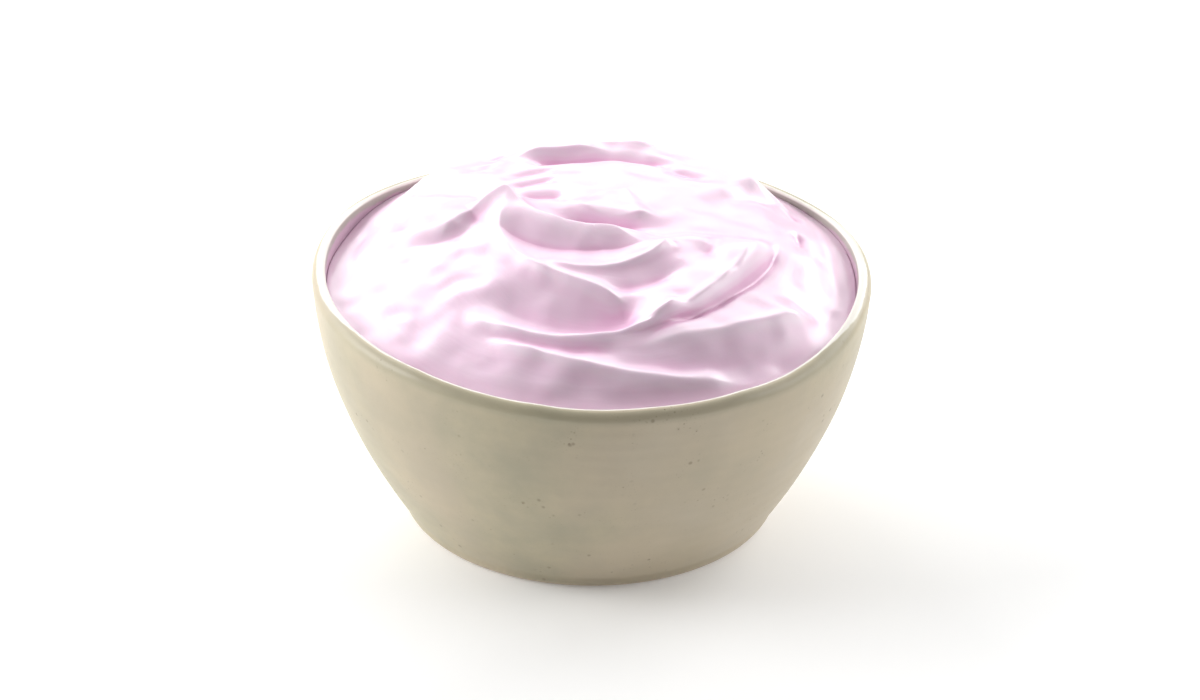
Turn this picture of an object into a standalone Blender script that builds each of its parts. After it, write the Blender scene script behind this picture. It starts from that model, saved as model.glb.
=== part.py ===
"""A stoneware bowl heaped with thick fruit yogurt, stirred into a spiral of soft folds."""

import math
from collections import namedtuple

import bmesh
import bpy
import numpy as np

# Bowl, in metres
BOWL_HEIGHT = 0.060
FOOT_RADIUS = 0.043
RIM_RADIUS = 0.065
FLARE = 1.8
RIM_WALL = 0.0031
LOW_WALL = 0.0046
FLOOR_TOP = 0.0052
FLOOR_ROUNDING = 0.006
FOOT_ROUNDING = 0.0026
RECESS_RADIUS = 0.0300
RECESS_DEPTH = 0.0012
RECESS_SLOPE = 0.0016
OUTER_ROLL = 0.0023
INNER_ROLL = 0.0006

# The hand-thrown rim rises and dips: sine and cosine heights for one to five waves round it, in metres
RIM_COSINES = (-0.00075, 0.00111, 0.00006, 0.00026, 0.00021)
RIM_SINES = (0.00068, 0.00022, 0.00014, -0.00025, 0.00023)
WAVES_START = 0.6
# Two broad dips in its front, each by angle, spread and depth
RIM_DIPS = ((-92, 46, 0.0008), (-46, 24, 0.0009))
RIM_DIP_POWER = 1.3
DIPS_START = 0.75

# Yogurt, in metres: its edge on the wall, with dips given by angle, spread and depth, and the heap that
# leans up towards the back
GAP = 0.0005
YOGURT_EDGE = 0.0573
EDGE_SWAY = 0.0014
EDGE_HIGH_SIDE = 90
EDGE_DIPS = ((164, 17, 0.0024), (352, 20, 0.0018))
HEAP_RISE = 0.0118
HEAP_LEAN = 0.0044
HEAP_FULLNESS = 2.8
EDGE_BAND = 0.12
EDGE_HOLD = 0.35
CREST_ROUNDNESS = 0.0008

# Facets
SEGMENTS = 88
TOP_RINGS = 40
WALL_ROWS = 6
ROUNDING_STEPS = 3
CREST_PULL = 0.00075

# A fold is a ridge along an arc in plan: it starts at an angle and sweeps on, in degrees, while its radius
# goes from the first of radii to the second by the power growth, bowed outwards by bow. Its crest goes from
# the first height to the second, and falls away over one width towards the centre and another outwards.
Fold = namedtuple("Fold", "centre start sweep radii growth bow heights widths fades")
ORIGIN = (0.0, 0.0)
CURL_CENTRE = (0.008, 0.022)
FOLDS = {
    "curl": Fold(CURL_CENTRE, 192, 100, (0.0293, 0.0206), 1.2, 0.0010, (0.0044, 0.0036),
                 (0.0030, 0.0040), (0.06, 0.42)),
    "curl_lining": Fold(CURL_CENTRE, 200, 104, (0.0150, 0.0128), 1.0, 0.0, (0.0018, 0.0020),
                        (0.0046, 0.0018), (0.30, 0.25)),
    "collar": Fold(ORIGIN, 146, 148, (0.0226, 0.0340), 8.0, -0.0016, (0.0022, 0.0034),
                   (0.0045, 0.0028), (0.20, 0.12)),
    "ledge": Fold(ORIGIN, 225, 125, (0.0188, 0.0190), 1.0, -0.0016, (0.0008, 0.0028),
                  (0.0055, 0.0015), (0.20, 0.12)),
    "left_ridge": Fold(ORIGIN, 145, 37, (0.0237, 0.0364), 1.0, 0.0007, (0.0020, 0.0038),
                       (0.0044, 0.0080), (0.10, 0.30)),
    "shelf": Fold(ORIGIN, 225, 82, (0.0415, 0.0355), 3.0, 0.0010, (0.0020, 0.0026),
                  (0.0034, 0.0028), (0.25, 0.12)),
    "plateau": Fold(ORIGIN, 276, 92, (0.0415, 0.0392), 1.0, -0.0044, (0.0010, 0.0054),
                    (0.0140, 0.0020), (0.12, 0.20)),
    "outer_ridge": Fold(ORIGIN, 278, 62, (0.0440, 0.0562), 2.2, 0.0, (0.0014, 0.0036),
                        (0.0080, 0.0040), (0.30, 0.18)),
    "front_ridge": Fold(ORIGIN, 238, 74, (0.0460, 0.0604), 1.3, -0.0006, (0.0026, 0.0018),
                        (0.0026, 0.0036), (0.25, 0.20)),
    "back_ridge": Fold(ORIGIN, 84, 34, (0.0452, 0.0456), 1.0, 0.0005, (0.0026, 0.0024),
                       (0.0016, 0.0070), (0.35, 0.35)),
    "shoulder": Fold(ORIGIN, 32, 66, (0.0510, 0.0500), 1.0, 0.0, (0.0042, 0.0038),
                     (0.0110, 0.0065), (0.16, 0.40)),
    "back_slope": Fold(ORIGIN, 66, 92, (0.0540, 0.0540), 1.0, 0.0, (0.0030, 0.0036),
                       (0.0130, 0.0036), (0.30, 0.28)),
    "crown": Fold(ORIGIN, 70, 24, (0.0492, 0.0488), 1.0, 0.0, (0.0013, 0.0013),
                  (0.0022, 0.0030), (0.35, 0.35)),
}

# A lobe is a fold whose outer side ends in a crease, this far out at its start and its end. The last
# number says how much that side bulges, and 1 is straight.
LOBES = {"curl": (0.0098, 0.0042, 1.4), "plateau": (0.0004, 0.0050, 1.7)}

# A furrow is a smooth trough along the same kind of arc
Furrow = namedtuple("Furrow", "centre start sweep radii growth bow depths width fades")
FURROWS = {
    "hollow": Furrow(ORIGIN, 218, 76, (0.0315, 0.0325), 1.0, 0.0015, (0.0018, 0.0044), 0.0056, (0.35, 0.15)),
    "left_leaf": Furrow(ORIGIN, 150, 34, (0.0236, 0.0326), 1.0, 0.0,
                        (0.0009, 0.0010), 0.0046, (0.35, 0.35)),
    "bight": Furrow(ORIGIN, 270, 60, (0.0240, 0.0245), 1.0, 0.0, (0.0012, 0.0014), 0.0026, (0.40, 0.40)),
    "gutter": Furrow(ORIGIN, 280, 84, (0.0420, 0.0432), 1.0, -0.0040,
                     (0.0008, 0.0010), 0.0016, (0.20, 0.30)),
    "dip": Furrow(ORIGIN, 332, 32, (0.0275, 0.0292), 1.0, 0.0, (0.0014, 0.0012), 0.0026, (0.40, 0.40)),
    "right_valley": Furrow(ORIGIN, 274, 56, (0.0475, 0.0580), 1.0, 0.0,
                           (0.0010, 0.0012), 0.0036, (0.30, 0.25)),
    "rut": Furrow(ORIGIN, 232, 50, (0.0440, 0.0450), 1.0, -0.0005, (0.0012, 0.0012), 0.0020, (0.30, 0.30)),
    "back_rut": Furrow(ORIGIN, 58, 56, (0.0415, 0.0410), 1.0, 0.0, (0.0018, 0.0034), 0.0022, (0.24, 0.22)),
    "back_nick": Furrow(ORIGIN, 44, 22, (0.0405, 0.0385), 1.0, 0.0, (0.0012, 0.0012), 0.0020, (0.40, 0.40)),
    "right_trough": Furrow(ORIGIN, 318, 66, (0.0558, 0.0564), 1.0, 0.0,
                           (0.0016, 0.0014), 0.0034, (0.35, 0.35)),
    "left_trough": Furrow(ORIGIN, 146, 56, (0.0560, 0.0560), 1.0, 0.0,
                          (0.0016, 0.0014), 0.0034, (0.35, 0.35)),
    "trail_high": Furrow(ORIGIN, 100, 30, (0.0345, 0.0355), 1.0, 0.0,
                         (0.0009, 0.0009), 0.0017, (0.35, 0.35)),
    "trail_middle": Furrow(ORIGIN, 104, 30, (0.0285, 0.0305), 1.0, 0.0,
                           (0.0010, 0.0010), 0.0016, (0.35, 0.35)),
    "trail_low": Furrow(ORIGIN, 106, 32, (0.0180, 0.0240), 1.0, 0.0, (0.0012, 0.0012), 0.0020, (0.35, 0.35)),
}

# The pit at the middle of the spiral, and the tip where the curl starts
PIT_CENTRE = (0.0028, 0.0058)
PIT_SIZE = (0.0088, 0.0038)
PIT_TURN = -8
PIT_DEPTH = 0.0044
TIP_CENTRE = (-0.0196, 0.0136)
TIP_HEIGHT = 0.0005
TIP_WIDTH = 0.0026

# Colours as linear red, green and blue, then roughness
BOWL_LOOK = ((0.56, 0.50, 0.38), 0.45)
YOGURT_LOOK = ((0.86, 0.66, 0.79), 0.25)


def clear_scene():
    for item in list(bpy.data.objects):
        bpy.data.objects.remove(item)


def ease(share):
    """A smooth step from 0 to 1."""
    share = np.clip(share, 0.0, 1.0)
    return share * share * (3.0 - 2.0 * share)


def mix(pair, share):
    return pair[0] + (pair[1] - pair[0]) * share


# Bowl shape

def outer_radius(z):
    share = np.clip(z / BOWL_HEIGHT, 0.0, 1.0)
    return FOOT_RADIUS + (RIM_RADIUS - FOOT_RADIUS) * (1.0 - (1.0 - share) ** FLARE)


def inner_radius(z):
    share = np.clip(z / BOWL_HEIGHT, 0.0, 1.0)
    return outer_radius(z) - mix((LOW_WALL, RIM_WALL), share)


def rim_wave(angle, z):
    """How far the wall is drawn up or down at a height, all of it at the rim and none low down."""
    wave = sum(
        cosine * np.cos(count * angle) + sine * np.sin(count * angle)
        for count, (cosine, sine) in enumerate(zip(RIM_COSINES, RIM_SINES), start=1)
    )
    return wave * ease((z / BOWL_HEIGHT - WAVES_START) / (1.0 - WAVES_START))


def dip_depth(angle, dips, power=2.0):
    """How deep the dips are at an angle in radians, each given by its own angle, spread and depth."""
    depth = 0.0
    for at, spread, deepest in dips:
        off = (np.degrees(angle) - at + 180.0) % 360.0 - 180.0
        depth = depth + deepest * np.exp(-np.abs(off / spread) ** power)
    return depth


def quarter_arc(centre, radius, start, steps):
    """Points on a quarter circle in the r, z plane, turning anticlockwise from start in degrees."""
    angles = [math.radians(start + 90.0 * step / steps) for step in range(steps + 1)]
    return [(centre[0] + radius * math.cos(a), centre[1] + radius * math.sin(a)) for a in angles]


def inner_profile(gap=0.0, top=BOWL_HEIGHT - INNER_ROLL):
    """The inside of the bowl from the top down to the axis, drawn inwards by the gap."""
    low = FLOOR_TOP + FLOOR_ROUNDING
    wall = [
        (inner_radius(z) - gap, z) for z in np.linspace(top, low, WALL_ROWS)
    ]
    corner_radius = inner_radius(low) - gap
    floor = FLOOR_TOP + gap
    corner = [
        (corner_radius - FLOOR_ROUNDING * (1.0 - math.cos(a)), floor + (low - floor) * (1.0 - math.sin(a)))
        for a in np.radians(np.linspace(90.0 / ROUNDING_STEPS, 90.0, ROUNDING_STEPS))
    ]
    return wall + corner + [(0.0, floor)]


def bowl_profile():
    """The bowl's section from the axis underneath, up the outside, over the rim and down to the axis."""
    recess = [
        (0.0, RECESS_DEPTH),
        (RECESS_RADIUS, RECESS_DEPTH),
        (RECESS_RADIUS + RECESS_SLOPE, 0.0),
    ]
    foot = quarter_arc((outer_radius(FOOT_ROUNDING) - FOOT_ROUNDING, FOOT_ROUNDING),
                       FOOT_ROUNDING, 270.0, ROUNDING_STEPS)
    outside = [
        (outer_radius(z), z)
        for z in np.linspace(FOOT_ROUNDING, BOWL_HEIGHT - OUTER_ROLL, WALL_ROWS + 1)[1:-1]
    ]
    roll = quarter_arc((RIM_RADIUS - OUTER_ROLL, BOWL_HEIGHT - OUTER_ROLL), OUTER_ROLL, 0.0, ROUNDING_STEPS)
    roll_in = quarter_arc((inner_radius(BOWL_HEIGHT) + INNER_ROLL, BOWL_HEIGHT - INNER_ROLL),
                          INNER_ROLL, 90.0, ROUNDING_STEPS)
    return recess + foot + outside + roll + roll_in[:-1] + inner_profile()


# Yogurt shape

def along_arc(x, y, arc):
    """Each point's distance outwards from an arc, its share of the way along it, and the fade there."""
    dx = x - arc.centre[0]
    dy = y - arc.centre[1]
    turned = (np.degrees(np.arctan2(dy, dx)) - arc.start) % 360.0
    share = np.clip(turned / arc.sweep, 0.0, 1.0)
    radius = mix(arc.radii, share ** arc.growth) + arc.bow * np.sin(np.pi * share)
    growing = (arc.radii[1] - arc.radii[0]) * arc.growth * np.maximum(share, 1e-6) ** (arc.growth - 1.0)
    slope = (growing + arc.bow * np.pi * np.cos(np.pi * share)) / math.radians(arc.sweep) / radius
    fade = ease(share / arc.fades[0]) * ease((1.0 - share) / arc.fades[1])
    return (np.hypot(dx, dy) - radius) / np.hypot(1.0, slope), share, fade


def cusp(distance, width):
    """A ridge's section: 1 at the crest, falling off steeply and then ever more gently."""
    return np.exp((CREST_ROUNDNESS - np.hypot(distance, CREST_ROUNDNESS)) / width)


def yogurt_height(x, y, edge_radius):
    """The yogurt's top above the bowl's underside at points in plan, before the rim's waves."""
    reach = np.hypot(x, y) / edge_radius
    heap = HEAP_RISE + HEAP_LEAN * y / edge_radius
    rise = heap * (1.0 - np.clip(reach, 0.0, 1.0) ** HEAP_FULLNESS)
    for name, fold in FOLDS.items():
        distance, share, fade = along_arc(x, y, fold)
        outer_side = cusp(distance, fold.widths[1])
        if name in LOBES:
            lobe = LOBES[name]
            outer_side = 1.0 - np.clip(distance / mix(lobe, share), 0.0, 1.0) ** lobe[2]
        section = np.where(distance < 0.0, cusp(distance, fold.widths[0]), outer_side)
        rise = rise + mix(fold.heights, share) * fade * section
    for furrow in FURROWS.values():
        distance, share, fade = along_arc(x, y, furrow)
        rise = rise - mix(furrow.depths, share) * fade * np.exp(-((distance / furrow.width) ** 2))
    turn = math.radians(PIT_TURN)
    dx = x - PIT_CENTRE[0]
    dy = y - PIT_CENTRE[1]
    along = (dx * math.cos(turn) + dy * math.sin(turn)) / PIT_SIZE[0]
    across = (dy * math.cos(turn) - dx * math.sin(turn)) / PIT_SIZE[1]
    rise = rise - PIT_DEPTH * np.exp(-(along ** 2) - across ** 2)
    tip = np.hypot(x - TIP_CENTRE[0], y - TIP_CENTRE[1])
    rise = rise + TIP_HEIGHT * cusp(tip, TIP_WIDTH)
    held = EDGE_HOLD + (1.0 - EDGE_HOLD) * ease((1.0 - reach) / EDGE_BAND)
    angle = np.arctan2(y, x)
    sway = EDGE_SWAY * np.cos(angle - math.radians(EDGE_HIGH_SIDE)) * reach ** 4
    return YOGURT_EDGE + rise * held + sway - dip_depth(angle, EDGE_DIPS) * reach ** 10


def top_height(x, y, edge_radius):
    """The yogurt's top with the rim's waves, which reach a little way in from the wall."""
    near_edge = ease((np.hypot(x, y) / edge_radius - 0.8) / 0.2)
    return yogurt_height(x, y, edge_radius) + rim_wave(np.arctan2(y, x), YOGURT_EDGE) * near_edge


def drawn_to_crests(x, y, edge_radius):
    """Moves points that lie within half a ring of a crest onto it, so that its line follows the facets."""
    nearest = np.full(x.shape, np.inf)
    towards = np.zeros((2,) + x.shape)
    for fold in FOLDS.values():
        distance, share, fade = along_arc(x, y, fold)
        outwards = np.array([x - fold.centre[0], y - fold.centre[1]])
        outwards = outwards / np.maximum(np.hypot(*outwards), 1e-6)
        closer = (fade > 0.05) & (np.abs(distance) < np.abs(nearest))
        nearest = np.where(closer, distance, nearest)
        towards = np.where(closer, outwards, towards)
    inside = np.hypot(x, y) < edge_radius * (1.0 - 2.0 / TOP_RINGS)
    move = np.where((np.abs(nearest) < CREST_PULL) & inside, nearest, 0.0)
    return x - move * towards[0], y - move * towards[1]


def split_along_folds(mesh, edge_radius):
    """Splits the top's four-sided faces along the diagonal that lies closer to the true surface."""
    shape = bmesh.new()
    shape.from_mesh(mesh)
    faces = [face for face in shape.faces if len(face.verts) == 4 and face.normal.z > 0.0]
    corners = np.array([[point.co for point in face.verts] for face in faces])
    errors = []
    for first, second in ((0, 2), (1, 3)):
        middle = (corners[:, first] + corners[:, second]) / 2.0
        errors.append(np.abs(middle[:, 2] - top_height(middle[:, 0], middle[:, 1], edge_radius)))
    for face, start in zip(faces, np.where(errors[0] <= errors[1], 0, 1)):
        points = list(face.verts)
        bmesh.utils.face_split(face, points[start], points[start + 2])
    shape.to_mesh(mesh)
    shape.free()


def yogurt_profile(rings):
    """The yogurt's section: flat along the top from the axis to the wall, then down inside the bowl."""
    side = inner_profile(GAP, YOGURT_EDGE)
    edge_radius = side[0][0]
    top = [(edge_radius * ring / rings, YOGURT_EDGE) for ring in range(rings)]
    return top + side


# Meshes

def turned_mesh(name, profile, segments):
    """A closed mesh turned about Z from a section that starts and ends on the axis."""
    shape = bmesh.new()
    points = [shape.verts.new((r, 0.0, z)) for r, z in profile]
    edges = [shape.edges.new(pair) for pair in zip(points, points[1:])]
    bmesh.ops.spin(shape, geom=points + edges, axis=(0.0, 0.0, 1.0), cent=(0.0, 0.0, 0.0),
                   angle=math.tau, steps=segments, use_merge=True)
    bmesh.ops.remove_doubles(shape, verts=shape.verts, dist=1e-6)
    bmesh.ops.recalc_face_normals(shape, faces=shape.faces)
    mesh = bpy.data.meshes.new(name)
    shape.to_mesh(mesh)
    shape.free()
    return mesh


def coordinates(mesh):
    flat = np.empty(len(mesh.vertices) * 3)
    mesh.vertices.foreach_get("co", flat)
    return flat.reshape(-1, 3)


def add_rim_waves(points):
    points[:, 2] += rim_wave(np.arctan2(points[:, 1], points[:, 0]), points[:, 2])


def finish_object(mesh, points, look):
    """Puts the points back on the mesh, shades it smooth and gives it a material of its own."""
    mesh.vertices.foreach_set("co", points.reshape(-1))
    mesh.update()
    mesh.shade_smooth()
    item = bpy.data.objects.new(mesh.name, mesh)
    bpy.context.scene.collection.objects.link(item)
    colour, roughness = look
    material = bpy.data.materials.new(mesh.name)
    material.use_nodes = True
    shader = material.node_tree.nodes["Principled BSDF"]
    shader.inputs["Base Color"].default_value = (*colour, 1.0)
    shader.inputs["Roughness"].default_value = roughness
    shader.inputs["Metallic"].default_value = 0.0
    mesh.materials.append(material)
    return item


def make_bowl():
    mesh = turned_mesh("bowl", bowl_profile(), SEGMENTS)
    points = coordinates(mesh)
    near_rim = ease((points[:, 2] / BOWL_HEIGHT - DIPS_START) / (1.0 - DIPS_START))
    add_rim_waves(points)
    points[:, 2] -= dip_depth(np.arctan2(points[:, 1], points[:, 0]), RIM_DIPS, RIM_DIP_POWER) * near_rim
    return finish_object(mesh, points, BOWL_LOOK)


def make_yogurt():
    profile = yogurt_profile(TOP_RINGS)
    edge_radius = profile[TOP_RINGS][0]
    mesh = turned_mesh("yogurt", profile, SEGMENTS)
    points = coordinates(mesh)
    on_top = points[:, 2] > YOGURT_EDGE - GAP
    add_rim_waves(points)
    x, y = drawn_to_crests(points[on_top, 0], points[on_top, 1], edge_radius)
    # where the edge lies lower the wall is closer to the axis, so the edge is drawn in with it
    widest = inner_radius(yogurt_height(x, y, edge_radius)) - GAP
    drawn_in = np.minimum(1.0, widest / np.maximum(np.hypot(x, y), GAP))
    x = x * drawn_in
    y = y * drawn_in
    points[on_top] = np.stack([x, y, top_height(x, y, edge_radius)], axis=1)
    mesh.vertices.foreach_set("co", points.reshape(-1))
    mesh.update()
    split_along_folds(mesh, edge_radius)
    return finish_object(mesh, points, YOGURT_LOOK)


def main():
    clear_scene()
    make_bowl()
    make_yogurt()


main()
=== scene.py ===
import math
from collections import namedtuple

import bpy
import numpy as np
from mathutils import Matrix, Vector


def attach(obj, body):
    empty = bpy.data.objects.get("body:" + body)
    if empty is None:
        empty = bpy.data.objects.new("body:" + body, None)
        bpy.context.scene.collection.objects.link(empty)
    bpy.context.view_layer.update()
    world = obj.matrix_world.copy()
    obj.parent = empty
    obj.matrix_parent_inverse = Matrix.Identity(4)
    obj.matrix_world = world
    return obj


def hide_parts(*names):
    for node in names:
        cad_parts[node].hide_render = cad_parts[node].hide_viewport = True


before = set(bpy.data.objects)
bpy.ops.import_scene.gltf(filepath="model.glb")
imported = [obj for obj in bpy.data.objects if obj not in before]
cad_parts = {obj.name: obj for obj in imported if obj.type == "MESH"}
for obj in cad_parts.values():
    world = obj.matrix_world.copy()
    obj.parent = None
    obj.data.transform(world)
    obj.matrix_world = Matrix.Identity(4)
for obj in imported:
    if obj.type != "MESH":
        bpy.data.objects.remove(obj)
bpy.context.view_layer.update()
print("frame loaded")


# Shader maths as plain Python: a Signal is a socket, and each operator on it adds a Math node
class Signal:
    def __init__(self, finish, socket):
        self.finish = finish
        self.socket = socket

    def math(self, operation, *values):
        return self.finish.node("ShaderNodeMath", {"operation": operation}, dict(enumerate(values)))

    def __add__(self, other):
        return self.math("ADD", self, other)

    def __radd__(self, other):
        return self.math("ADD", other, self)

    def __sub__(self, other):
        return self.math("SUBTRACT", self, other)

    def __rsub__(self, other):
        return self.math("SUBTRACT", other, self)

    def __mul__(self, other):
        return self.math("MULTIPLY", self, other)

    def __rmul__(self, other):
        return self.math("MULTIPLY", other, self)

    def __truediv__(self, other):
        return self.math("DIVIDE", self, other)

    def part(self, axis):
        return self.finish.node("ShaderNodeSeparateXYZ", {}, {0: self}, axis)

    def step(self, low, high):      # 0 below low, 1 above high, smooth between them
        return self.finish.node("ShaderNodeMapRange", {"interpolation_type": "SMOOTHSTEP"},
                                {"Value": self, "From Min": low, "From Max": high})


# One procedural finish: a Principled shader, what is fixed on it, and helpers for what varies
class Finish:
    def __init__(self, name, **fixed):
        self.material = bpy.data.materials.new(name)
        self.material.use_nodes = True
        self.tree = self.material.node_tree
        self.shader = self.tree.nodes["Principled BSDF"]
        for socket, value in fixed.items():
            self.shader.inputs[socket.replace("_", " ")].default_value = value

    def node(self, kind, settings, sockets, output=0):
        made = self.tree.nodes.new(kind)
        for key, value in settings.items():
            setattr(made, key, value)
        for key, value in sockets.items():
            if isinstance(value, Signal):
                self.tree.links.new(value.socket, made.inputs[key])
            else:
                made.inputs[key].default_value = value
        return Signal(self, made.outputs[output])

    def place(self):
        return self.node("ShaderNodeTexCoord", {}, {}, "Object")

    def stored(self, name):
        return self.node("ShaderNodeAttribute", {"attribute_name": name}, {}, "Fac")

    def noise(self, place, scale, detail=2.0, roughness=0.5):
        return self.node("ShaderNodeTexNoise", {},
                         {"Vector": place, "Scale": scale, "Detail": detail, "Roughness": roughness})

    def cells(self, place, scale):
        return self.node("ShaderNodeTexVoronoi", {}, {"Vector": place, "Scale": scale}, "Distance")

    def combine(self, x, y, z):
        return self.node("ShaderNodeCombineXYZ", {}, {0: x, 1: y, 2: z})

    def blend(self, factor, first, second):
        return self.node("ShaderNodeMix", {"data_type": "RGBA"}, {0: factor, 6: first, 7: second}, 2)

    def bump(self, height, distance, strength):
        return self.node("ShaderNodeBump", {}, {"Strength": strength, "Distance": distance, "Height": height})

    def shade(self, **varying):
        for socket, value in varying.items():
            self.tree.links.new(value.socket, self.shader.inputs[socket.replace("_", " ")])
        return self.material


# Modelling helpers
def ease(share):
    share = np.clip(share, 0.0, 1.0)
    return share * share * (3.0 - 2.0 * share)


def mixed(pair, share):
    return pair[0] + (pair[1] - pair[0]) * share


def turnedPiece(name, section, steps):
    # one point is drawn along the section by extruding it, and the line is spun about Z
    bpy.ops.object.select_all(action="DESELECT")
    bpy.ops.mesh.primitive_plane_add(size=0.01, location=(0, 0, 0))
    piece = bpy.context.object
    piece.name = piece.data.name = name
    bpy.ops.object.mode_set(mode="EDIT")
    bpy.ops.mesh.select_all(action="SELECT")
    bpy.ops.mesh.merge(type="CENTER")
    here = (0.0, 0.0)
    for count, point in enumerate(section):
        move = {"value": (point[0] - here[0], 0.0, point[1] - here[1])}
        if count == 0:
            bpy.ops.transform.translate(**move)
        else:
            bpy.ops.mesh.extrude_region_move(TRANSFORM_OT_translate=move)
        here = point
    bpy.ops.mesh.select_all(action="SELECT")
    bpy.ops.mesh.spin(steps=steps, angle=math.tau, center=(0, 0, 0), axis=(0, 0, 1), use_auto_merge=True)
    bpy.ops.mesh.select_all(action="SELECT")
    bpy.ops.mesh.remove_doubles(threshold=0.000002)
    bpy.ops.mesh.normals_make_consistent(inside=False)
    bpy.ops.object.mode_set(mode="OBJECT")
    return piece


def readPoints(piece):
    flat = np.empty(len(piece.data.vertices) * 3)
    piece.data.vertices.foreach_get("co", flat)
    return flat.reshape(-1, 3)


def writePoints(piece, points):
    piece.data.vertices.foreach_set("co", points.reshape(-1))
    piece.data.update()


def storeValues(piece, name, values):
    made = piece.data.attributes.new(name, "FLOAT", "POINT")
    made.data.foreach_set("value", values.astype(np.float32))


def markGroup(piece, name, weights):
    group = piece.vertex_groups.new(name=name)
    for index, weight in enumerate(weights):
        if weight > 0:
            group.add([index], float(weight), "REPLACE")
    return group.name


def unevenSurface(piece, group, size, strength, direction):
    # a soft cloud pattern lifts and lowers the surface
    clouds = bpy.data.textures.new(piece.name + "Clouds", "CLOUDS")
    clouds.noise_scale = size
    clouds.noise_depth = 1
    bpy.ops.object.select_all(action="DESELECT")
    piece.select_set(True)
    bpy.context.view_layer.objects.active = piece
    displace = piece.modifiers.new("uneven", "DISPLACE")
    displace.texture = clouds
    displace.texture_coords = "LOCAL"
    displace.vertex_group = group
    displace.strength = strength
    displace.mid_level = 0.5
    displace.direction = direction
    bpy.ops.object.modifier_apply(modifier=displace.name)


def smoothShading(piece, degrees):
    bpy.ops.object.select_all(action="DESELECT")
    piece.select_set(True)
    bpy.context.view_layer.objects.active = piece
    bpy.ops.object.shade_smooth_by_angle(angle=math.radians(degrees))


# Bowl: thrown stoneware with a rolled, gently waving rim and a turned foot
bowl = {
    "height": 0.060,
    "footRadius": 0.043,
    "rimRadius": 0.065,
    "flare": 1.8,
    "rimWall": 0.0031,
    "lowWall": 0.0046,
    "floorTop": 0.0052,
    "floorRounding": 0.006,
    "footRounding": 0.0026,
    "recessRadius": 0.0300,
    "recessDepth": 0.0012,
    "recessSlope": 0.0016,
    "outerRoll": 0.0023,
    "innerRoll": 0.0006,
    "waveCosines": (-0.00075, 0.00111, 0.00006, 0.00026, 0.00021),
    "waveSines": (0.00068, 0.00022, 0.00014, -0.00025, 0.00023),
    "wavesStart": 0.6,
    # corners and broad dips that the potter's fingers left in the rim: angle, spread and lift
    "kinks": ((-101, 4.0, 0.00022), (-78, 5.0, 0.00016), (-58, 4.0, 0.00026), (-128, 5.0, 0.00020),
              (-92, 46.0, -0.0008), (-46, 24.0, -0.0009)),
    "kinkPower": 1.3,
    "kinksStart": 0.75,
    "steps": 320,
    "wallRows": 44,
    "roundRows": 8,
    "unevenSize": 0.028,
    "uneven": 0.00030,
    "unevenFrom": 0.004,
    "unevenBand": 0.008,
    "rimSteadiness": 0.7,
    "beige": (0.54, 0.475, 0.325, 1.0),
    "olive": (0.42, 0.385, 0.27, 1.0),
    "warm": (0.545, 0.455, 0.34, 1.0),
    "rimCream": (0.84, 0.815, 0.74, 1.0),
    # painted shade: the inside wall is given a darker grey where it lies in shade
    "insideShadeGrey": (0.40, 0.39, 0.33, 1.0),
    # a yogurt film on the wall, painted in the darker purple of yogurt in shade
    "smearInShade": (0.62, 0.42, 0.54, 1.0),
    "speckBrown": (0.27, 0.215, 0.145, 1.0),
    "bareClay": (0.60, 0.50, 0.38, 1.0),
}


def outerRadius(z):
    share = np.clip(z / bowl["height"], 0.0, 1.0)
    return mixed((bowl["footRadius"], bowl["rimRadius"]), 1.0 - (1.0 - share) ** bowl["flare"])


def innerRadius(z):
    share = np.clip(z / bowl["height"], 0.0, 1.0)
    return outerRadius(z) - mixed((bowl["lowWall"], bowl["rimWall"]), share)


def rimWave(angle, z):
    wave = 0.0
    for count, (cosine, sine) in enumerate(zip(bowl["waveCosines"], bowl["waveSines"]), start=1):
        wave = wave + cosine * np.cos(count * angle) + sine * np.sin(count * angle)
    return wave * ease((z / bowl["height"] - bowl["wavesStart"]) / (1.0 - bowl["wavesStart"]))


def turnedOff(angle, at):
    # how far an angle in radians is turned away from one in degrees, in degrees
    return (np.degrees(angle) - at + 180.0) % 360.0 - 180.0


def quarterArc(centre, radius, start, rows):
    angles = [math.radians(start + 90.0 * row / rows) for row in range(rows + 1)]
    return [(centre[0] + radius * math.cos(a), centre[1] + radius * math.sin(a)) for a in angles]


def insideSection(gap, top, rows):
    low = bowl["floorTop"] + bowl["floorRounding"]
    wall = [(float(innerRadius(z)) - gap, float(z)) for z in np.linspace(top, low, rows)]
    cornerRadius = float(innerRadius(low)) - gap
    floor = bowl["floorTop"] + gap
    corner = [
        (cornerRadius - bowl["floorRounding"] * (1.0 - math.cos(a)),
         floor + (low - floor) * (1.0 - math.sin(a)))
        for a in np.radians(np.linspace(90.0 / bowl["roundRows"], 90.0, bowl["roundRows"]))
    ]
    return wall + corner + [(0.0, floor)]


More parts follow.
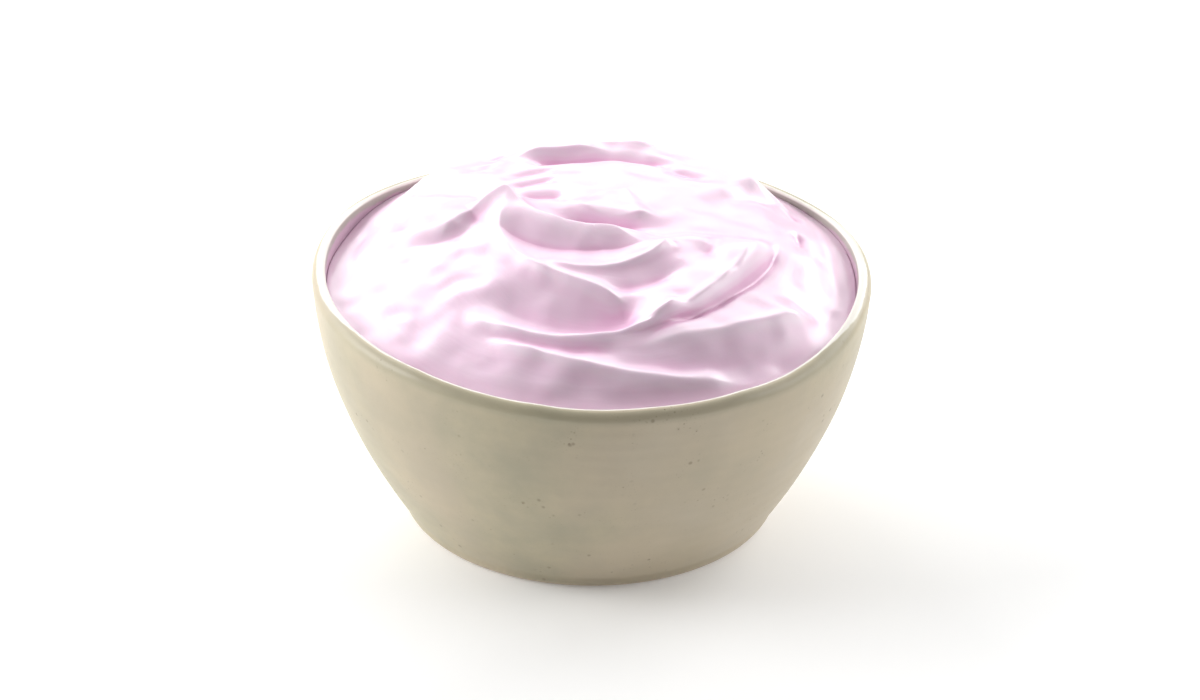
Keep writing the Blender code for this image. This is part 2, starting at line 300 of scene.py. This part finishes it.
def bowlSection():
    rounding, height = bowl["footRounding"], bowl["height"]
    outerRoll, innerRoll = bowl["outerRoll"], bowl["innerRoll"]
    recessEdge = bowl["recessRadius"] + bowl["recessSlope"]
    recess = [(0.0, bowl["recessDepth"]), (bowl["recessRadius"] * 0.5, bowl["recessDepth"]),
              (bowl["recessRadius"], bowl["recessDepth"])]
    recess += [(mixed((bowl["recessRadius"], recessEdge), s), bowl["recessDepth"] * float(1 - ease(s)))
               for s in (0.25, 0.5, 0.75, 1.0)]
    foot = quarterArc((float(outerRadius(rounding)) - rounding, rounding), rounding, 270.0, bowl["roundRows"])
    outside = [(float(outerRadius(z)), float(z))
               for z in np.linspace(rounding, height - outerRoll, bowl["wallRows"] + 1)[1:-1]]
    rollOut = quarterArc((bowl["rimRadius"] - outerRoll, height - outerRoll), outerRoll, 0.0,
                         bowl["roundRows"])
    innerEdge = float(innerRadius(height))
    rollIn = quarterArc((innerEdge + innerRoll, height - innerRoll), innerRoll, 90.0, bowl["roundRows"])[:-1]
    inside = insideSection(0.0, height - innerRoll, bowl["wallRows"])
    return recess + foot + outside + rollOut + rollIn + inside


def makeBowl():
    piece = turnedPiece("stonewareBowl", bowlSection(), bowl["steps"])
    points = readPoints(piece)
    angle = np.arctan2(points[:, 1], points[:, 0])
    radius = np.hypot(points[:, 0], points[:, 1])
    level = points[:, 2].copy()
    middleWall = (outerRadius(level) + innerRadius(level)) / 2
    inside = np.where((radius < middleWall) & (level > bowl["floorTop"] - 0.001), 1.0, 0.0)
    storeValues(piece, "wallLevel", level / bowl["height"])
    storeValues(piece, "inside", inside)
    across = np.clip((bowl["rimRadius"] - radius) / bowl["rimWall"], 0.0, 1.0)
    onRoll = level > bowl["height"] - bowl["outerRoll"] - 0.00001
    storeValues(piece, "acrossRim", np.where(onRoll, across, inside))
    points[:, 2] += rimWave(angle, level)
    nearRim = ease((level / bowl["height"] - bowl["kinksStart"]) / (1.0 - bowl["kinksStart"]))
    for at, spread, lift in bowl["kinks"]:
        points[:, 2] += lift * np.exp(-np.abs(turnedOff(angle, at) / spread) ** bowl["kinkPower"]) * nearRim
    writePoints(piece, points)
    aboveFoot = ease((level - bowl["unevenFrom"]) / bowl["unevenBand"])
    outside = np.where(inside < 0.5, aboveFoot * (1 - nearRim * bowl["rimSteadiness"]), 0.0)
    unevenSurface(piece, markGroup(piece, "outside", outside), bowl["unevenSize"], bowl["uneven"], "NORMAL")
    smoothShading(piece, 60)
    return piece


def glaze():
    finish = Finish("satinStonewareGlaze", Roughness=0.45, Coat_Roughness=0.22)
    place = finish.place()
    level = finish.stored("wallLevel")
    inside = finish.stored("inside")
    mottle = finish.noise(place, 55, 5, 0.6)
    cloudy = finish.noise(place, 18, 3, 0.5)
    grain = finish.noise(place, 900, 3, 0.6)
    colour = finish.blend(mottle.step(0.30, 0.72), bowl["olive"], bowl["beige"])
    colour = finish.blend(cloudy.step(0.38, 0.62) * 0.6, colour, bowl["warm"])
    colour = finish.blend(cloudy.step(0.58, 0.78) * 0.16, colour, bowl["rimCream"])
    across = finish.stored("acrossRim")
    # the cream line is partly the glaze thinning on the rim's edge and partly a painted highlight; it is
    # broader at the bowl's two sides, where the side lights fall
    sideways = place.part(0) / bowl["rimRadius"]
    side = (sideways * sideways).step(0.60, 0.92)
    ragged = finish.noise(place, 160, 3, 0.6) - 0.5
    # painted shade: a darker olive band just below the rim on the outside, left off at the two sides where
    # the side lights fall
    shadeBelowRim = (level + ragged * 0.03).step(0.935, 0.975) * (1 - across.step(0.45, 0.7)) * (1 - side)
    colour = finish.blend(shadeBelowRim * 0.55 * (1 - inside), colour, bowl["olive"])
    rimLineAndHighlight = (across + ragged * 0.25 + side * 0.38).step(0.66, 0.80)
    colour = finish.blend(rimLineAndHighlight * 0.9, colour, bowl["rimCream"])
    # painted shade: the inside wall below the rim is coloured a darker grey for the shade it lies in
    colour = finish.blend(inside * (1 - level.step(0.988, 0.998)), colour, bowl["insideShadeGrey"])
    # a film of yogurt is left on the wall just above the filling; it is painted in the darker purple of
    # yogurt in shade, as painted shade
    shadedFilm = inside * (1 - (level + ragged * 0.035).step(0.962, 0.980))
    colour = finish.blend(shadedFilm * 0.85, colour, bowl["smearInShade"])
    # fine specks of iron in the glaze, in three sizes, thinned out by slow noise
    fewer = finish.noise(place, 120, 2, 0.5)
    small = (1 - finish.cells(place, 1150).step(0.10, 0.26)) * fewer.step(0.42, 0.62)
    medium = (1 - finish.cells(place, 560).step(0.08, 0.20)) * fewer.step(0.50, 0.66)
    large = (1 - finish.cells(place, 260).step(0.06, 0.20)) * fewer.step(0.48, 0.64)
    specks = small * 0.30 + medium * 0.50 + large * 0.60
    specks = specks * (1 - rimLineAndHighlight * 0.6)
    colour = finish.blend(specks.step(0.0, 1.0), colour, bowl["speckBrown"])
    # the foot stands on bare clay
    foot = 1 - (level + (mottle - 0.5) * 0.02).step(0.010, 0.030)
    colour = finish.blend(foot * (1 - inside) * 0.8, colour, bowl["bareClay"])
    roughness = 0.40 + mottle * 0.16 + foot * 0.25 + specks * 0.06
    rings = finish.node("ShaderNodeMath", {"operation": "SINE"}, {0: level * 95 + cloudy * 9})
    relief = rings * 0.25 + finish.noise(place, 240, 3, 0.55) * 1.1 + grain * 0.22 - specks * 0.5
    gloss = 0.12 + rimLineAndHighlight * 0.4
    return finish.shade(Base_Color=colour, Roughness=roughness, Coat_Weight=gloss,
                        Normal=finish.bump(relief, 0.00010, 0.8))


# Yogurt: a heap that a spoon stirred into a spiral of folds
# an arc sweeps on from its start, in degrees, while its radius goes from the first of radii to the second
# by the power growth, bowed outwards by bow, and each end fades over a share of it. A fold is a ridge along
# it, with its heights at the start and the end and its widths inwards and outwards.
Arc = namedtuple("Arc", "centre start sweep radii growth bow heights widths fades")
middle = (0.0, 0.0)
curlCentre = (0.008, 0.022)
yogurt = {
    "gap": 0.00012,
    "edge": 0.0573,
    "edgeSway": 0.0014,
    "edgeHighSide": 90,
    "edgeDips": ((164, 17, 0.0024), (352, 20, 0.0018)),     # angle, spread and depth
    "rise": 0.0118,
    "lean": 0.0044,
    "fullness": 2.8,
    "edgeBand": 0.12,
    "edgeHold": 0.35,
    "crestRoundness": 0.00042,
    "steps": 400,
    "rings": 220,
    "folds": {
        "curl": Arc(curlCentre, 192, 100, (0.0293, 0.0206), 1.2, 0.0010,
                    (0.0044, 0.0036), (0.0030, 0.0040), (0.06, 0.42)),
        "curlLining": Arc(curlCentre, 200, 104, (0.0150, 0.0128), 1.0, 0.0,
                          (0.0018, 0.0020), (0.0046, 0.0018), (0.30, 0.25)),
        "collar": Arc(middle, 146, 148, (0.0226, 0.0340), 8.0, -0.0016,
                      (0.0022, 0.0034), (0.0045, 0.0028), (0.20, 0.12)),
        "ledge": Arc(middle, 225, 125, (0.0188, 0.0190), 1.0, -0.0016,
                     (0.0008, 0.0028), (0.0055, 0.0015), (0.20, 0.12)),
        "leftRidge": Arc(middle, 145, 37, (0.0237, 0.0364), 1.0, 0.0007,
                         (0.0020, 0.0038), (0.0044, 0.0080), (0.10, 0.30)),
        "shelf": Arc(middle, 225, 82, (0.0415, 0.0355), 3.0, 0.0010,
                     (0.0020, 0.0026), (0.0034, 0.0028), (0.25, 0.12)),
        "plateau": Arc(middle, 276, 92, (0.0415, 0.0392), 1.0, -0.0044,
                       (0.0010, 0.0054), (0.0140, 0.0020), (0.12, 0.20)),
        "outerRidge": Arc(middle, 278, 62, (0.0440, 0.0562), 2.2, 0.0,
                          (0.0014, 0.0036), (0.0080, 0.0040), (0.30, 0.18)),
        "frontRidge": Arc(middle, 238, 74, (0.0460, 0.0604), 1.3, -0.0006,
                          (0.0026, 0.0018), (0.0026, 0.0036), (0.25, 0.20)),
        "backRidge": Arc(middle, 84, 34, (0.0452, 0.0456), 1.0, 0.0005,
                         (0.0026, 0.0024), (0.0016, 0.0070), (0.35, 0.35)),
        "shoulder": Arc(middle, 32, 66, (0.0510, 0.0500), 1.0, 0.0,
                        (0.0042, 0.0038), (0.0110, 0.0065), (0.16, 0.40)),
        "backSlope": Arc(middle, 66, 92, (0.0540, 0.0540), 1.0, 0.0,
                         (0.0030, 0.0036), (0.0130, 0.0036), (0.30, 0.28)),
        "crown": Arc(middle, 70, 24, (0.0492, 0.0488), 1.0, 0.0,
                     (0.0013, 0.0013), (0.0022, 0.0030), (0.35, 0.35)),
    },
    # a lobe's outer side ends in a crease this far out, at its start and end, and bulges by the last number
    "lobes": {"curl": (0.0098, 0.0042, 1.4), "plateau": (0.0004, 0.0050, 1.7)},
    # a furrow is a smooth trough along the same kind of arc, with depths for heights and a single width
    "furrows": {
        "hollow": Arc(middle, 218, 76, (0.0315, 0.0325), 1.0, 0.0015,
                      (0.0018, 0.0044), 0.0056, (0.35, 0.15)),
        "leftLeaf": Arc(middle, 150, 34, (0.0236, 0.0326), 1.0, 0.0,
                        (0.0009, 0.0010), 0.0046, (0.35, 0.35)),
        "bight": Arc(middle, 270, 60, (0.0240, 0.0245), 1.0, 0.0,
                     (0.0012, 0.0014), 0.0026, (0.40, 0.40)),
        "gutter": Arc(middle, 280, 84, (0.0420, 0.0432), 1.0, -0.0040,
                      (0.0008, 0.0010), 0.0016, (0.20, 0.30)),
        "dip": Arc(middle, 332, 32, (0.0275, 0.0292), 1.0, 0.0,
                   (0.0014, 0.0012), 0.0026, (0.40, 0.40)),
        "rightValley": Arc(middle, 274, 56, (0.0475, 0.0580), 1.0, 0.0,
                           (0.0010, 0.0012), 0.0036, (0.30, 0.25)),
        "rut": Arc(middle, 232, 50, (0.0440, 0.0450), 1.0, -0.0005,
                   (0.0012, 0.0012), 0.0020, (0.30, 0.30)),
        "backRut": Arc(middle, 58, 56, (0.0415, 0.0410), 1.0, 0.0,
                       (0.0018, 0.0034), 0.0022, (0.24, 0.22)),
        "backNick": Arc(middle, 44, 22, (0.0405, 0.0385), 1.0, 0.0,
                        (0.0012, 0.0012), 0.0020, (0.40, 0.40)),
        "trailHigh": Arc(middle, 100, 30, (0.0345, 0.0355), 1.0, 0.0,
                         (0.0009, 0.0009), 0.0017, (0.35, 0.35)),
        "trailMiddle": Arc(middle, 104, 30, (0.0285, 0.0305), 1.0, 0.0,
                           (0.0010, 0.0010), 0.0016, (0.35, 0.35)),
        "trailLow": Arc(middle, 106, 32, (0.0180, 0.0240), 1.0, 0.0,
                        (0.0012, 0.0012), 0.0020, (0.35, 0.35)),
        "scratchHigh": Arc(middle, 111, 12, (0.0500, 0.0490), 1.0, 0.0,
                           (0.0006, 0.0006), 0.0012, (0.45, 0.45)),
        "scratchLow": Arc(middle, 117, 14, (0.0465, 0.0455), 1.0, 0.0,
                          (0.0007, 0.0007), 0.0013, (0.45, 0.45)),
        "leftScoop": Arc(middle, 150, 24, (0.0500, 0.0440), 1.0, 0.0,
                         (0.0010, 0.0014), 0.0026, (0.40, 0.40)),
        "leftDent": Arc(middle, 184, 14, (0.0440, 0.0415), 1.0, 0.0,
                        (0.0006, 0.0004), 0.0026, (0.45, 0.45)),
        "rightDent": Arc(middle, 6, 12, (0.0494, 0.0500), 1.0, 0.0,
                         (0.0014, 0.0014), 0.0016, (0.45, 0.45)),
        "rightNick": Arc(middle, 22, 12, (0.0535, 0.0550), 1.0, 0.0,
                         (0.0012, 0.0012), 0.0014, (0.45, 0.45)),
        "rightTrough": Arc(middle, 318, 66, (0.0558, 0.0564), 1.0, 0.0,
                           (0.0016, 0.0014), 0.0034, (0.35, 0.35)),
        "leftTrough": Arc(middle, 146, 56, (0.0560, 0.0560), 1.0, 0.0,
                          (0.0016, 0.0014), 0.0034, (0.35, 0.35)),
        "doubleLine": Arc(middle, 258, 56, (0.0385, 0.0392), 1.0, 0.0,
                          (0.0006, 0.0009), 0.0008, (0.30, 0.25)),
    },
    "pitCentre": (0.0028, 0.0058),
    "pitSize": (0.0088, 0.0038),
    "pitTurn": -8,
    "pitDepth": 0.0044,
    "tipCentre": (-0.0196, 0.0136),
    "tipHeight": 0.0005,
    "tipWidth": 0.0026,
    # soft ridges that run down the near flank to the rim: size, how many round the bowl, and phase
    "ripples": ((0.00016, 19, 20), (0.00013, 31, 150), (0.00016, 11, 80)),
    "rippleAngles": (176, 290),
    "rippleFade": 30,
    "rippleStart": 0.70,
    "rippleBand": 0.16,
    "rimWaveStart": 0.8,
    "unevenSize": 0.010,
    "uneven": 0.0013,
    "unevenBand": 0.08,
    "cavityReach": 0.0035,
    "cavityBand": 0.06,
    # painted light and shade: pale on the crests, the yogurt's own rose, and a deeper pink in the hollows
    "pale": (0.91, 0.725, 0.84, 1.0),
    "rose": (0.89, 0.645, 0.795, 1.0),
    "deep": (0.83, 0.47, 0.68, 1.0),
}


def alongArc(x, y, arc):
    # each point's distance outwards from the arc, its share of the way along it, and the arc's fade there
    dx, dy = x - arc.centre[0], y - arc.centre[1]
    share = np.clip((np.degrees(np.arctan2(dy, dx)) - arc.start) % 360.0 / arc.sweep, 0.0, 1.0)
    radius = mixed(arc.radii, share ** arc.growth) + arc.bow * np.sin(np.pi * share)
    growing = (arc.radii[1] - arc.radii[0]) * arc.growth * np.maximum(share, 1e-6) ** (arc.growth - 1.0)
    slope = (growing + arc.bow * np.pi * np.cos(np.pi * share)) / math.radians(arc.sweep) / radius
    fade = ease(share / arc.fades[0]) * ease((1.0 - share) / arc.fades[1])
    return (np.hypot(dx, dy) - radius) / np.hypot(1.0, slope), share, fade


def cusp(distance, width):
    roundness = yogurt["crestRoundness"]
    return np.exp((roundness - np.hypot(distance, roundness)) / width)


def yogurtHeight(x, y, edgeRadius):
    reach = np.hypot(x, y) / edgeRadius
    heap = yogurt["rise"] + yogurt["lean"] * y / edgeRadius
    rise = heap * (1.0 - np.clip(reach, 0.0, 1.0) ** yogurt["fullness"])
    for name, fold in yogurt["folds"].items():
        distance, share, fade = alongArc(x, y, fold)
        outward = cusp(distance, fold.widths[1])
        if name in yogurt["lobes"]:
            lobe = yogurt["lobes"][name]
            outward = 1 - np.clip(distance / mixed(lobe, share), 0.0, 1.0) ** lobe[2]
        section = np.where(distance < 0.0, cusp(distance, fold.widths[0]), outward)
        rise = rise + mixed(fold.heights, share) * fade * section
    for furrow in yogurt["furrows"].values():
        distance, share, fade = alongArc(x, y, furrow)
        rise = rise - mixed(furrow.heights, share) * fade * np.exp(-((distance / furrow.widths) ** 2))
    turn = math.radians(yogurt["pitTurn"])
    dx, dy = x - yogurt["pitCentre"][0], y - yogurt["pitCentre"][1]
    along = (dx * math.cos(turn) + dy * math.sin(turn)) / yogurt["pitSize"][0]
    across = (dy * math.cos(turn) - dx * math.sin(turn)) / yogurt["pitSize"][1]
    rise = rise - yogurt["pitDepth"] * np.exp(-(along ** 2) - across ** 2)
    tip = np.hypot(x - yogurt["tipCentre"][0], y - yogurt["tipCentre"][1])
    rise = rise + yogurt["tipHeight"] * cusp(tip, yogurt["tipWidth"])
    angle = np.arctan2(y, x)
    turned = np.degrees(angle) % 360.0
    first, last = yogurt["rippleAngles"]
    fade = yogurt["rippleFade"]
    flank = ease((reach - yogurt["rippleStart"]) / yogurt["rippleBand"])
    flank = flank * ease((turned - first) / fade) * ease((last - turned) / fade)
    ripples = sum(size * np.sin(np.radians(turned * pace + phase + 90 * reach))
                  for size, pace, phase in yogurt["ripples"])
    rise = rise + ripples * flank
    held = yogurt["edgeHold"] + (1.0 - yogurt["edgeHold"]) * ease((1.0 - reach) / yogurt["edgeBand"])
    sway = yogurt["edgeSway"] * np.cos(angle - math.radians(yogurt["edgeHighSide"]))
    for at, spread, depth in yogurt["edgeDips"]:
        sway = sway - depth * np.exp(-(turnedOff(angle, at) / spread) ** 2) * reach ** 6
    return yogurt["edge"] + rise * held + sway * reach ** 4


def makeYogurt():
    side = insideSection(yogurt["gap"], yogurt["edge"], 10)
    edgeRadius = side[0][0]
    top = [(edgeRadius * ring / yogurt["rings"], yogurt["edge"]) for ring in range(yogurt["rings"])]
    piece = turnedPiece("stirredYogurt", top + side, yogurt["steps"])
    points = readPoints(piece)
    onTop = points[:, 2] > yogurt["edge"] - yogurt["gap"]
    x, y = points[:, 0], points[:, 1]
    wave = rimWave(np.arctan2(y, x), points[:, 2])
    reach = np.hypot(x, y) / edgeRadius
    height = yogurtHeight(x, y, edgeRadius)
    # where the edge lies lower the wall is closer to the axis, so the edge is drawn in with it
    widest = innerRadius(height) - yogurt["gap"]
    drawnIn = np.where(onTop, np.minimum(1.0, widest / np.maximum(np.hypot(x, y), 0.001)), 1.0)
    points[:, 0], points[:, 1] = x * drawnIn, y * drawnIn
    # a hollow is where the top lies below its mean height a little way off, in eight directions
    around = np.radians(np.arange(0, 360, 45))
    near = yogurt["cavityReach"]
    cavity = sum(yogurtHeight(x + near * math.cos(a), y + near * math.sin(a), edgeRadius) for a in around)
    cavity = (cavity / len(around) - height) / near
    cavity = np.where(onTop, cavity * ease((1 - reach) / yogurt["cavityBand"]), 0.0)
    nearEdge = ease((reach - yogurt["rimWaveStart"]) / (1.0 - yogurt["rimWaveStart"]))
    points[:, 2] = np.where(onTop, height + wave * nearEdge, points[:, 2] + wave)
    writePoints(piece, points)
    # the hollowness is kept for the finish, which paints shade into the hollows and light onto the crests
    # with it
    storeValues(piece, "cavity", cavity)
    weights = np.where(onTop, ease((1 - reach) / yogurt["unevenBand"]), 0.0)
    unevenSurface(piece, markGroup(piece, "top", weights), yogurt["unevenSize"], yogurt["uneven"], "Z")
    smoothShading(piece, 80)
    return piece


def cream():
    finish = Finish("creamyFruitYogurt", Roughness=0.34, Subsurface_Weight=0.2, Subsurface_Scale=0.004,
                    Coat_Weight=0.6, Coat_Roughness=0.28, IOR=1.42)
    finish.shader.inputs["Subsurface Radius"].default_value = (1.0, 0.6, 0.8)
    place = finish.place()
    cavity = finish.stored("cavity")
    x, y = place.part(0), place.part(1)
    flat = finish.combine(x, y, 0.0)
    radius = finish.node("ShaderNodeVectorMath", {"operation": "LENGTH"}, {0: flat}, "Value")
    angle = finish.node("ShaderNodeMath", {"operation": "ARCTAN2"}, {0: y, 1: x})
    # the stir's own directions: across the strokes, and along them
    strokes = finish.combine(radius * 420 - angle * 1.6, x * 45, y * 45)
    drag = finish.noise(strokes, 1.0, 2, 0.5)
    soft = finish.noise(place, 70, 3, 0.5)
    fine = finish.noise(place, 900, 4, 0.6)
    # painted shade and light: deeper pink in the hollows, paler on the crests, with a little random tone from
    # the noises
    depth = cavity + (soft - 0.5) * 0.06 + (drag - 0.5) * 0.03
    colour = finish.blend(depth.step(-0.20, 0.04), yogurt["pale"], yogurt["rose"])
    colour = finish.blend(depth.step(0.04, 0.28) * 0.8, colour, yogurt["deep"])
    roughness = 0.28 + soft * 0.12 + drag * 0.08
    relief = drag * 0.8 + soft * 0.5 + fine * 0.14
    return finish.shade(Base_Color=colour, Roughness=roughness, Normal=finish.bump(relief, 0.00016, 0.7))


bowlPiece = makeBowl()
bowlPiece.data.materials.append(glaze())
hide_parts("bowl")
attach(bowlPiece, "root")
print("bowl turned and glazed")

yogurtPiece = makeYogurt()
yogurtPiece.data.materials.append(cream())
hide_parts("yogurt")
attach(yogurtPiece, "root")
print("yogurt filled in and stirred")


# Studio: a plain pale floor, soft lights all round and a camera at the photograph's angle
studio = {
    "floorSize": 8.0,
    "floor": (0.88, 0.88, 0.88, 1.0),
    "floorGlow": 0.16,
    "worldStrength": 0.03,
    "lookAt": (0.0, 0.0, 0.05),
    # place, size and power of each light
    "lights": {
        "backLeft": ((-0.72, 0.80, 0.62), (1.0, 0.8), 9.5),
        "back": ((0.0, 1.05, 0.70), (0.9, 0.6), 4.6),
        "backRight": ((0.75, 0.75, 0.55), (0.7, 0.6), 8.5),
        "left": ((-1.1, 0.0, 0.55), (0.7, 0.7), 13.2),
        "right": ((1.1, 0.0, 0.55), (0.7, 0.7), 6.6),
        "top": ((0.0, 0.1, 1.2), (1.0, 1.0), 2.0),
    },
}
cameraView = {
    "elevation": 27.29,
    "distance": 0.9,
    "roll": 0.8,
    "aimHeight": 0.06,
    "pixelsPerMetre": 4299.0,
    "imageSize": (1200, 700),
    "aimPixel": (592.1, 268.7),
    "sensor": 36.0,
}


def makeFloor():
    bpy.ops.object.select_all(action="DESELECT")
    bpy.ops.mesh.primitive_plane_add(size=studio["floorSize"], location=(0, 0, 0))
    floor = bpy.context.object
    floor.name = "floor"
    finish = Finish("paleFloor", Roughness=0.9, Emission_Strength=studio["floorGlow"])
    finish.shader.inputs["Emission Color"].default_value = (1.0, 1.0, 1.0, 1.0)
    haze = finish.noise(finish.place(), 3.0, 2)
    white = (0.90, 0.90, 0.90, 1.0)
    floor.data.materials.append(finish.shade(Base_Color=finish.blend(haze, studio["floor"], white)))


def makeLights():
    aim = Vector(studio["lookAt"])
    for name, (place, size, power) in studio["lights"].items():
        bpy.ops.object.light_add(type="AREA", location=place)
        light = bpy.context.object
        light.name = name
        light.data.shape = "RECTANGLE"
        light.data.size, light.data.size_y = size
        light.data.energy = power
        light.rotation_euler = (aim - Vector(place)).to_track_quat("-Z", "Y").to_euler()
    world = bpy.data.worlds.new("studioAir")
    world.use_nodes = True
    air = world.node_tree.nodes["Background"]
    air.inputs["Color"].default_value = (1.0, 1.0, 1.0, 1.0)
    air.inputs["Strength"].default_value = studio["worldStrength"]
    bpy.context.scene.world = world


def makeCamera():
    tilt, roll = math.radians(cameraView["elevation"]), math.radians(cameraView["roll"])
    target = Vector((0.0, 0.0, cameraView["aimHeight"]))
    forward = Vector((0.0, math.cos(tilt), -math.sin(tilt)))
    up = Vector((0.0, math.sin(tilt), math.cos(tilt)))
    right = Vector((1.0, 0.0, 0.0))
    width, height = cameraView["imageSize"]
    across = (width / 2 - cameraView["aimPixel"][0]) / cameraView["pixelsPerMetre"]
    down = (height / 2 - cameraView["aimPixel"][1]) / cameraView["pixelsPerMetre"]
    place = target - forward * cameraView["distance"]
    aim = target + right * (math.cos(roll) * across + math.sin(roll) * down)
    aim = aim - up * (math.cos(roll) * down - math.sin(roll) * across)
    bpy.ops.object.camera_add(location=place)
    camera = bpy.context.object
    camera.name = "photoCamera"
    camera.data.sensor_width = cameraView["sensor"]
    camera.data.lens = cameraView["pixelsPerMetre"] * cameraView["distance"] * cameraView["sensor"] / width
    turn = (aim - place).to_track_quat("-Z", "Y").to_matrix() @ Matrix.Rotation(roll, 3, "Z")
    camera.rotation_euler = turn.to_euler()
    bpy.context.scene.camera = camera


makeFloor()
makeLights()
makeCamera()
bpy.context.scene.view_settings.view_transform = "Standard"
print("studio set")
